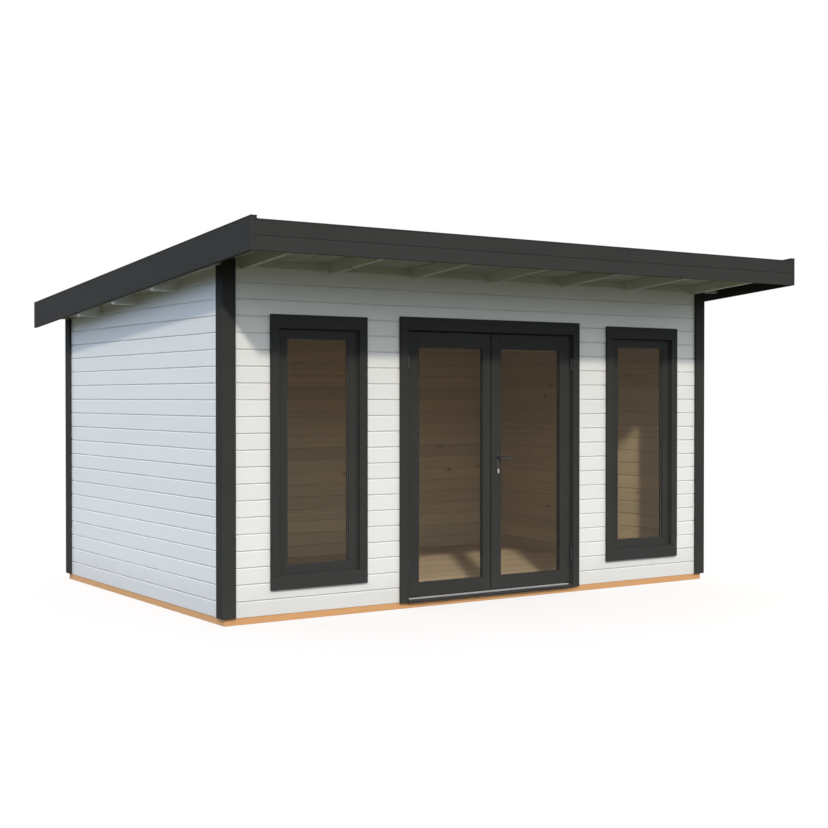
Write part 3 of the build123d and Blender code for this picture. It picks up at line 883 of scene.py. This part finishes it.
def corner_boards(node, name, side_top, outward):
    """Two boards at each corner: the front or back one covers the edge of the side one."""
    batch = Batch()
    low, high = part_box(node)
    outer_y, wall_y = (low.y, front_y) if outward < 0 else (high.y, back_y)
    front_ys = outer_y, wall_y
    side_ys = wall_y - outward * CORNER_JOINT, outer_y - outward * CORNER_BOARD_WIDTH
    for outer_x, wall_x, inward in ((low.x, left_x, 1), (high.x, right_x, -1)):
        front_xs = outer_x, outer_x + inward * CORNER_BOARD_WIDTH
        for xs, ys, top in ((front_xs, front_ys, high.z), ((outer_x, wall_x), side_ys, side_top)):
            batch.plank(*zip(sorted(xs), sorted(ys), (wall_foot, top)), Z)
    batch.piece(name, "cabin", dark_finish, (node,), EASE_CORNER)


# Timber and sheets of the roof

def roof_timber():
    """Plates, purlins and overhang rafters under the roof boards."""
    for name, node in (("plate_timbers", "wall_plates"), ("purlin_timbers", "purlins")):
        batch = Batch()
        for low, high in solids(node):
            batch.under_roof(low, high)
        batch.piece(name, "cabin", eave_finish, (node,), EASE_TIMBER)
    rafters = Batch()
    for low, high in solids("overhang_rafters"):
        rafters.sloped(low[X], high[X], low[Y], high[Y], roof_levels(low, high)[0], 0.0)
    rafters.piece("rafter_timbers", "cabin", eave_finish, ("overhang_rafters",), EASE_TIMBER)


def eave_laths():
    """Laths in the corner of side wall and roof boards, between the plates and the purlins."""
    batch = Batch()
    ends = [inner_front_y]
    for low, high in sorted(solids("purlins").tolist(), key=lambda box: box[0][Y]):
        ends += [low[Y], high[Y]]
    ends.append(inner_back_y)
    for x0, x1 in ((left_x - LATH_THICKNESS, left_x), (right_x, right_x + LATH_THICKNESS)):
        for y0, y1 in zip(ends[::2], ends[1::2]):
            batch.sloped(x0, x1, y0, y1, -LATH_DEPTH, 0.0)
    batch.piece("eave_laths", "cabin", wall_finish, (), EASE_JOINERY)


def roof_edges():
    """Bargeboards and fascias, with outer faces set back by the rise of a screw head."""
    barge, fascia, back = Batch(), Batch(), Batch()
    for low, high in solids("bargeboards"):
        x0, x1 = max(low[X], roof_left_x + SCREW_RISE), min(high[X], roof_right_x - SCREW_RISE)
        barge.sloped(x0, x1, low[Y] + SCREW_RISE, high[Y], *roof_levels(low, high))
    barge.piece("barge_timbers", "cabin", dark_finish, ("bargeboards",), EASE_TIMBER)
    for low, high in solids("front_fascia"):
        fascia.plank((low[X], low[Y] + SCREW_RISE, low[Z]), high)
    fascia.piece("front_fascia_timbers", "cabin", dark_finish, ("front_fascia",), EASE_TIMBER)
    low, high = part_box("back_fascia")
    back.under_roof(low, high, high.z - roof_z(low.y))
    back.piece("back_fascia_timber", "cabin", dark_finish, ("back_fascia",), EASE_TIMBER)


def caps():
    """Edge battens and cap slats, with short ends that close the slats over the fascia."""
    battens, slats = Batch(), Batch()
    for batch, node in ((battens, "roof_edge_battens"), (slats, "cap_slats")):
        for low, high in solids(node):
            if high[X] - low[X] > LONG_CAP:
                batch.plank(low, high)
            else:
                batch.sloped(low[X], high[X], low[Y], high[Y], *roof_levels(low, high))
    end_top = span("cap_slats", Z)[1] - CAP_THICKNESS - CAP_END_GAP
    _, fascia_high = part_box("front_fascia")
    for x0, x1 in ((plate_left_x, plate_left_x + CAP_END_WIDTH),
                   (plate_right_x - CAP_END_WIDTH, plate_right_x)):
        slats.plank((x0, roof_front_y, fascia_high.z), (x1, fascia_high.y, end_top), Y)
    battens.piece("edge_battens", "cabin", dark_finish, ("roof_edge_battens",), EASE_JOINERY)
    slats.piece("cap_slat_timbers", "cabin", dark_finish, ("cap_slats",), EASE_TIMBER)


def roofing_sheets():
    """Sheets across the roof from the low eave up, each over the upper edge of the one below.

    A sheet's faces are surfaces of x and y: the roof's plane, plus a soft rise over the lap,
    plus a ripple that is a product of sines.
    """
    batch = Batch()
    low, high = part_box("roof_felt")
    base_level = high.z - roof_z(low.y) - PACKED_SHEET
    xs = np.linspace(low.x, high.x, 49)
    back = high.y
    while back > low.y + LAP_RISE:
        front = max(back - SHEET_COVER - SHEET_LAP, low.y)
        x, y = np.meshgrid(xs, np.linspace(front, back, 21), indexing="ij")
        lift = SHEET_THICKNESS if back < high.y else 0.0
        lift *= np.clip((y - (back - SHEET_LAP)) / LAP_RISE, 0, 1)
        bottom = roof_z(y, base_level + lift)
        ripple = SHEET_RIPPLE * np.sin(x * 9.1 + 2 * y) * np.sin(y * 6.7)
        top = bottom + SHEET_THICKNESS + np.abs(ripple)
        above, below = (np.stack([x, y, z], axis=-1) for z in (top, bottom))
        batch.add(np.concatenate([above, below[:, ::-1]], axis=1), X)
        back -= SHEET_COVER
    for x0, x1 in ((low.x, low.x + SHEET_THICKNESS), (high.x - SHEET_THICKNESS, high.x)):
        batch.sloped(x0, x1, low.y, high.y, *UPSTAND_LEVELS)
    foot, top = UPSTAND_LEVELS
    z0, z1 = roof_z(low.y, foot), roof_z(low.y, top - FRONT_UPSTAND_CUT)
    batch.plank((low.x, low.y, z0), (high.x, low.y + SHEET_THICKNESS, z1), X)
    batch.piece("roofing_sheets", "cabin", felt_finish, ("roof_felt",))


# Door frame, casings and windows

def casings():
    planks("door_casing_boards", dark_finish, "door_casing")
    planks("door_inner_casing_boards", inner_finish, "door_inner_casing")
    planks("window_casing_boards", dark_finish, "window_casings")
    planks("window_inner_casing_boards", inner_finish, "window_inner_casings")
    planks("window_lining_boards", dark_finish, "window_linings", ease=EASE_JOINERY)


def door_frame():
    planks("door_frame_timbers", dark_finish, "door_frame", ease=EASE_JOINERY)
    planks("door_stop_laths", dark_finish, "door_stops", ease=EASE_JOINERY)


def threshold():
    """Sill board between the posts, and a nose in front with a bevel below and above."""
    batch = Batch()
    low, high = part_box("door_threshold")
    strip_low, strip_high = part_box("threshold_strip")
    batch.plank((strip_low.x, front_y, wall_foot), (strip_high.x, high.y, high.z), X)
    y, foot, top = low.y, low.z + NOSE_LIFT, strip_low.z
    run, fall = NOSE_SLOPE
    batch.along_x(low.x, high.x, [
        (y, foot + NOSE_BEVEL), (y + NOSE_BEVEL, foot), (front_y, foot), (front_y, top),
        (y + run, top), (y, top - fall),
    ])
    batch.piece("threshold_timbers", "cabin", dark_finish, ("door_threshold",), EASE_JOINERY)


def threshold_strip():
    """Ribbed angle strip: a section of (y, z) corners carried along the door.

    The rim in front stands a little above the square ribs behind it.
    """
    batch = Batch()
    low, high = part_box("threshold_strip")
    step = RIB + GROOVE
    lip = front_y - low.y
    lip_y = low.y + lip
    sill_top = span("door_threshold", Z)[1]
    ribs_z = high.z - STRIP_DIP
    flat_z = ribs_z - RIB_HEIGHT
    outline = [(high.y, sill_top), (high.y, flat_z)]
    for i in range(int((high.y - low.y - lip) / step)):
        y = high.y - FIRST_RIB - i * step
        outline += [(y, flat_z), (y - RIB_SLOPE, ribs_z)]
        outline += [(y - RIB + RIB_SLOPE, ribs_z), (y - RIB, flat_z)]
    outline += [
        (lip_y, flat_z), (lip_y - RIM_SLOPE, high.z), (low.y + RIM_BEVEL, high.z),
        (low.y, high.z - RIM_BEVEL), (low.y, low.z), (lip_y, low.z), (lip_y, sill_top),
    ]
    left_gap, right_gap = STRIP_END_GAPS
    batch.along_x(low.x + left_gap, high.x - right_gap, outline)
    batch.piece("ribbed_strip", "cabin", strip_metal, ("threshold_strip",))


def glazing(low, high, name, body, node, spacer_finish):
    """Double unit, spacer, gaskets and inner beads round one glass opening.

    low and high are the corners of the opening between the rails and stiles. The outer sheet
    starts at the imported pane's outer face, and the beads hold the unit from inside.
    """
    panes, spacer, beads, gaskets = Batch(), Batch(), Batch(), Batch()
    front, back = low[Y], low[Y] + UNIT_THICKNESS
    (x0, x1), (z0, z1) = ((low[axis] + GLASS_EDGE, high[axis] - GLASS_EDGE) for axis in (X, Z))
    for y0, y1 in ((front, front + SHEET_GLASS), (back - SHEET_GLASS, back)):
        panes.plank((x0, y0, z0), (x1, y1, z1), Z)
    panes.piece(name + "_double_pane", body, glass_finish, (node,))
    y0, y1 = front + SHEET_GLASS + SPACER_GAP, back - SHEET_GLASS - SPACER_GAP
    foot, top = SPACER_SEAT, SPACER_HEIGHT
    spacer.mitred(low, high, [(foot, y0), (top, y0), (top, y1), (foot, y1)])
    spacer.piece(name + "_spacer", body, spacer_finish)
    w, foot, top = BEAD_WIDTH, back + GASKET_DEPTH, leaf_back_y - BEAD_SETBACK
    run, fall = BEAD_SLOPE
    beads.mitred(low, high, [(0.0, foot), (0.0, top), (w - run, top), (w, top - fall), (w, foot)])
    g, lip, seat = GASKET_WIDTH, front - GASKET_WIDTH, front - GASKET_GAP
    gaskets.mitred(low, high, [
        (0.0, seat), (0.0, lip), (g * 0.38, lip + g * 0.08), (g * 0.71, lip + g * 0.29),
        (g * 0.92, lip + g * 0.62), (g, seat),
    ])
    seat, foot = back + GASKET_GAP, foot - GASKET_GAP
    gaskets.mitred(low, high, [(0.0, seat), (0.0, foot), (w + 0.0005, foot), (w + 0.0010, seat)])
    beads.piece(name + "_beads", body, dark_finish, (), EASE_BEAD)
    gaskets.piece(name + "_gaskets", body, rubber_finish)


def windows():
    """Sashes, then glass, spacer, gaskets and beads of both windows."""
    planks("window_sash_timbers", dark_finish, "window_sashes", ease=EASE_JOINERY)
    for (low, high), name in zip(each_window("window_panes"), ("left_window", "right_window")):
        glazing(low, high, name, "cabin", "window_panes", spacer_metal)


def door_leaf(side):
    """Stiles, rails and glass of one leaf."""
    body = "door_" + side
    nodes = body + "_stiles", body + "_rails"
    planks(body + "_timbers", dark_finish, *nodes, body=body, ease=EASE_JOINERY)
    glazing(*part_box(body + "_pane"), body, body, body + "_pane", black_metal)


# Lock, handle and hinges

def lever_handles():
    """Levers outside and inside: an oval carried out from the door, round a bend and along it.

    The path is a straight neck, a quarter circle and a straight grip. The section's half sizes
    run from a round neck to a flat oval grip, and close in at the tip as the root of one minus
    a square.
    """
    batch = Batch()
    low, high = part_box("door_handles")
    plate_low, plate_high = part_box("lock_plates")
    x, z = plate_low.x + LEVER_INSET, (low.z + high.z) / 2
    turn = full_turn(28)
    circle = np.cos(turn), np.sin(turn)
    oval = [np.sign(wave) * np.abs(wave) ** OVAL_POWER for wave in circle]
    for start, end, outward in ((plate_low.y - LEVER_GAP, low.y, -1),
                                (plate_high.y + LEVER_GAP, high.y, 1)):
        axis_y = end - outward * LEVER_HALF_DEPTH
        straight = np.linspace(0, abs(axis_y - start) - LEVER_BEND, 6)
        angle = np.linspace(0, math.pi / 2, 9)[1:]
        grip = np.linspace(0, high.x - x - LEVER_BEND, 24)[1:]
        bent = straight[-1] + LEVER_BEND * np.sin(angle)
        px = [0 * straight, LEVER_BEND * (1 - np.cos(angle)), LEVER_BEND + grip]
        py = [start + outward * straight, start + outward * bent, axis_y + 0 * grip]
        px, py = np.concatenate(px) + x, np.concatenate(py)
        heading = np.concatenate([0 * straight, angle, math.pi / 2 + 0 * grip])
        on_neck = heading < 0.01
        share = np.clip((px - x) / (high.x - x), 0, 1)
        tip = np.sqrt(np.clip(1 - (np.clip(share - 0.93, 0, 1) / 0.0705) ** 2, 0.02, 1))
        root = 1 - np.clip((px - x) / LEVER_ROOT, 0, 1)
        tall, flat = (
            (NECK_RADIUS * root + half * (1 - root) * (1 - taper * share)) * tip
            for half, taper in ((LEVER_HALF_HEIGHT, 0.22), (LEVER_HALF_DEPTH, 0.15))
        )
        flat = np.where(on_neck, NECK_RADIUS, flat)
        flare = 1 + 0.25 * np.exp(-(np.abs(py - start) / 0.004) ** 2) * on_neck
        blend = root[:, None]
        side, rise = (
            (wave * blend + flatter * (1 - blend)) * (half * flare)[:, None]
            for wave, flatter, half in zip(circle, oval, (flat, tall))
        )
        across = side * np.cos(heading)[:, None]
        outwards = side * (-outward * np.sin(heading)[:, None])
        batch.add(np.stack([px[:, None] + across, py[:, None] + outwards, z + rise], axis=-1), X)
    batch.piece("lever_handles", "handle", black_metal, ("door_handles",), round_parts=True)


def arc(x, z, radius, turns, angles=np.linspace(0, math.pi / 2, 6)):
    """(x, z) corners along an arc of a circle, moved on by a number of quarter turns."""
    angle = angles + turns * math.pi / 2
    return np.stack([x + radius * np.cos(angle), z + radius * np.sin(angle)], axis=-1)


def upright(outline, y):
    """(x, z) corners as points at one depth."""
    return np.insert(outline, 1, y, axis=1)


def rounded_outline(x, half_width, low, high, radius):
    """(x, z) corners of an upright plate with round corners, each a quarter circle."""
    w, top, foot = half_width - radius, high - radius, low + radius
    centres = (w, top), (-w, top), (-w, foot), (w, foot)
    corners = np.concatenate([arc(*centre, radius, i) for i, centre in enumerate(centres)])
    return corners + (x, 0.0)


def lock_plates():
    """Plates with round corners and bevelled rims on both faces, each with two screws."""
    batch = Batch()
    rim = PLATE_RIM
    for low, high in solids("lock_plates"):
        outward = -1 if low[Y] < leaf_front_y else 1
        face, foot = (low[Y], high[Y]) if outward < 0 else (high[Y], low[Y])
        x, half = (low[X] + high[X]) / 2, (high[X] - low[X]) / 2
        full = rounded_outline(x, half, low[Z], high[Z], PLATE_CORNER)
        inner = rounded_outline(x, half - rim, low[Z] + rim, high[Z] - rim, PLATE_INNER_CORNER)
        bevel_y = face - outward * rim
        batch.add([upright(full, foot), upright(full, bevel_y), upright(inner, face)], Y)
        places = [(x, face, low[Z] + PLATE_SCREW_INSET), (x, face, high[Z] - PLATE_SCREW_INSET)]
        batch.heads(places, Y, outward, PLATE_SCREW, 14)
    batch.piece("rounded_lock_plates", "door_right", black_metal, ("lock_plates",),
                round_parts=True)


def lock_cylinder():
    """Key cylinder: a round head with a narrow leg below, the same outline through the leaf."""
    batch, keyway = Batch(), Batch()
    low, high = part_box("lock_cylinder")
    x, z = (low.x + high.x) / 2, (low.z + high.z) / 2
    radius = (high.x - low.x) / 2
    join = math.asin(CYLINDER_LEG / radius)
    head = np.linspace(join - math.pi / 2, 3 * math.pi / 2 - join, 25)
    foot = np.linspace(math.pi, 2 * math.pi, 9)
    outline = np.concatenate([
        arc(x, z, radius, 0, head), arc(x, z - CYLINDER_LEG_DROP, CYLINDER_LEG, 0, foot),
    ])
    batch.add([upright(outline, low.y), upright(outline, high.y)], Y)
    faces = (low.y, -1), (high.y, 1)
    for face, outward in faces:
        batch.turned((x, face, z), Y, PLUG_RADII, outward * np.array(PLUG_RISES), 24)
    batch.piece("key_cylinder", "door_right", lock_metal, ("lock_cylinder",), round_parts=True)
    for face, outward in faces:
        y = face + outward * KEYWAY_RISE
        y0, y1 = sorted((y, y - outward * KEYWAY_DEPTH))
        keyway.plank((x - KEYWAY_HALF_WIDTH, y0, z - KEYWAY_BELOW),
                     (x + KEYWAY_HALF_WIDTH, y1, z + KEYWAY_ABOVE), Z)
    keyway.piece("keyway_slots", "door_right", black_metal)


def hinge_caps():
    """Turned end caps at the foot of the hinge pins and on top of the leaves' barrels."""
    for node, body, end, inset in (("hinge_pins", "cabin", 0, 0.008),
                                   ("left_hinge_barrels", "door_left", 1, 0.007),
                                   ("right_hinge_barrels", "door_right", 1, 0.007)):
        batch = Batch()
        rises = np.array(HINGE_RISES) * (1 if end else -1)
        for box in solids(node):
            low, high = box
            x = high[X] - inset if low[X] > 0 else low[X] + inset
            batch.turned((x, low[Y] + HINGE_INSET, box[end][Z]), Z, HINGE_RADII, rises, 20)
        batch.piece(node + "_caps", body, black_metal, round_parts=True)


# Screws and nails

def fixings():
    """Screws in the corner boards, casings, fascia and bargeboards."""
    batch = Batch()
    for node, end, outward in (("front_corner_posts", 0, -1), ("back_corner_posts", 1, 1)):
        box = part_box(node)
        y, top = box[end].y, box[1].z
        low_x, high_x = span(node, X)
        edge, inner = POST_ROW_INSETS
        for x in (low_x + edge, low_x + inner, high_x - inner, high_x - edge):
            batch.row((x, y, wall_foot), (x, y, top), POST_ROW, Y, outward)
        y -= outward * SIDE_ROW_INSET
        for x, side in ((low_x, -1), (high_x, 1)):
            batch.row((x, y, wall_foot), (x, y, top), POST_ROW, X, side)
    for node in ("door_casing", "window_casings"):
        for low, high in solids(node):
            x, _, z = (low + high) / 2
            y = low[Y]
            if high[Z] - low[Z] > high[X] - low[X]:
                batch.row((x, y, low[Z]), (x, y, high[Z]), UPRIGHT_ROW, Y, -1)
            else:
                batch.row((low[X], y, z), (high[X], y, z), LEVEL_ROW, Y, -1)
    for low, high in solids("front_fascia"):
        y = low[Y] + SCREW_RISE
        for z in (low[Z] + FASCIA_ROW_INSET, high[Z] - FASCIA_ROW_INSET):
            batch.row((low[X], y, z), (high[X], y, z), FASCIA_ROW, Y, -1)
    for low, high in solids("bargeboards"):
        x, side = (low[X] + SCREW_RISE, -1) if low[X] < 0 else (high[X] - SCREW_RISE, 1)
        for level in BARGE_ROW_LEVELS:
            ends = [(x, y, roof_z(y, level)) for y in (low[Y], high[Y])]
            batch.row(*ends, BARGE_ROW, X, side)
    batch.piece("painted_screws", "cabin", dark_finish, round_parts=True)


def slat_nails():
    """Nails along the middle of the cap slats."""
    batch = Batch()
    for low, high in solids("cap_slats"):
        x, y, _ = (low + high) / 2
        if high[X] - low[X] > LONG_CAP:
            ends = [(end, y, high[Z]) for end in (low[X], high[X])]
        else:
            level = roof_levels(low, high)[1]
            ends = [(x, end, roof_z(end, level)) for end in (low[Y], high[Y])]
        batch.row(*ends, SLAT_ROW, Z, 1, NAIL)
    batch.piece("slat_nails", "cabin", strip_metal, round_parts=True)


def kept_nodes():
    """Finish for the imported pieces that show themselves."""
    for node in ("hinge_pins", "left_hinge_barrels", "right_hinge_barrels"):
        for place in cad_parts[node].material_slots:
            place.material = black_metal


# Stage, light and camera

def seen_rays(finish):
    """1 for rays that go to the camera straight, by reflection or through glass."""
    seen = finish.ray("Is Camera Ray").at_least(finish.ray("Is Glossy Ray"))
    return seen.at_least(finish.ray("Is Transmission Ray"))


def ground():
    """Pale floor that keeps the building's shadow."""
    mesh = bpy.data.meshes.new("ground")
    r = FLOOR_REACH
    mesh.from_pydata([(-r, -r, 0), (r, -r, 0), (r, r, 0), (-r, r, 0)], [], [(0, 1, 2, 3)])
    finish = Finish("pale_ground")
    seen = seen_rays(finish)
    colour = finish.mix(seen, FLOOR_BOUNCE, FLOOR_SEEN)
    matt = finish.node("ShaderNodeBsdfDiffuse", None, {"Color": colour})
    lift = finish.node("ShaderNodeEmission", None, {"Color": FLOOR_LIFT, "Strength": seen})
    mesh.materials.append(finish.end(finish.node("ShaderNodeAddShader", None, {0: matt, 1: lift})))
    linked("ground", mesh)


def sky():
    """Pale sky, brighter above the horizon and towards the right, and white where it is seen."""
    world = bpy.data.worlds.new("pale_sky")
    bpy.context.scene.world = world
    finish = Finish("pale_sky", world)
    x, _, z = finish.split(finish.node("ShaderNodeTexCoord", output="Generated"))
    level = 0.70 + finish.rise(z, 0.05, 0.18) * 0.68 - finish.rise(z, 0.34, 0.55) * 0.40
    colour = finish.times(SKY_COLOUR, level * (1 + x * 0.28))
    colour = finish.mix(seen_rays(finish), colour, WHITE)
    finish.end(finish.node("ShaderNodeBackground", None, {"Color": colour, "Strength": 1.0}))


def lamps():
    """A low sun from the left of the front in a wide glow, and a cool soft light from the left."""
    for name, (x, y, z), strength, spread, colour in LAMPS:
        lamp = bpy.data.lights.new(name, "SUN")
        lamp.energy = strength
        lamp.angle = math.radians(spread)
        lamp.color = colour
        turn = math.atan2(math.hypot(x, y), z), 0.0, math.atan2(y, x) + math.pi / 2
        linked(name, lamp).rotation_euler = turn


def camera():
    data = bpy.data.cameras.new("camera")
    data.lens = CAMERA_LENS
    data.sensor_width = 36.0
    data.clip_end = 500.0
    item = linked("camera", data)
    item.location = CAMERA_PLACE
    item.rotation_euler = CAMERA_TURN
    bpy.context.scene.camera = item


base()
floor()
front_wall()
back_wall()
side_walls()
corner_boards("front_corner_posts", "front_corner_boards", front_wall_top, -1)
corner_boards("back_corner_posts", "back_corner_boards", back_wall_top, 1)
roof_timber()
roof_boards()
eave_laths()
roof_edges()
caps()
roofing_sheets()
casings()
door_frame()
threshold()
threshold_strip()
windows()
door_leaf("left")
door_leaf("right")
lever_handles()
lock_plates()
lock_cylinder()
hinge_caps()
fixings()
slat_nails()
kept_nodes()
ground()
sky()
lamps()
camera()

bpy.context.scene.view_settings.view_transform = "Standard"
